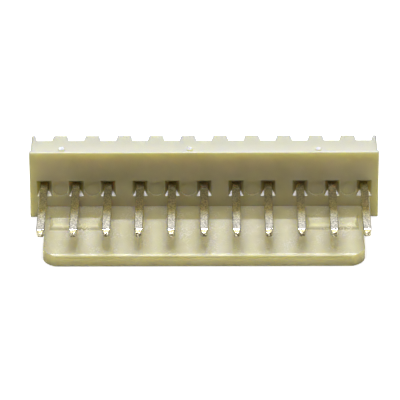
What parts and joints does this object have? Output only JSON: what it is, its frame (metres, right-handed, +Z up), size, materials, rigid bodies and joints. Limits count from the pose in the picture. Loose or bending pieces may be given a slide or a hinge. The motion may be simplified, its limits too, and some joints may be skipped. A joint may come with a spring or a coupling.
{
  "type": "pin header",
  "caption": "Straight single-row pin header for a circuit board: square contacts through a moulded base with feet, and a ridged friction lock wall along one side.",
  "frame": {"origin": "middle of the whole part in X and Y, on the surface it lies on", "axes": "+X along the row of contacts, +Y along the solder tails towards the board, +Z up from the back of the lock wall"},
  "size_m": [0.0276, 0.0146, 0.0059],
  "materials": {
    "natural_nylon": "moulded, half gloss, slightly translucent",
    "tin_plate": "bright tin plating on brass wire"
  },
  "bodies": {
    "root": {"housing": "natural_nylon", "pin_01": "tin_plate", "pin_02": "tin_plate", "pin_03": "tin_plate", "pin_04": "tin_plate", "pin_05": "tin_plate", "pin_06": "tin_plate", "pin_07": "tin_plate", "pin_08": "tin_plate", "pin_09": "tin_plate", "pin_10": "tin_plate", "pin_11": "tin_plate"}
  },
  "joints": []
}
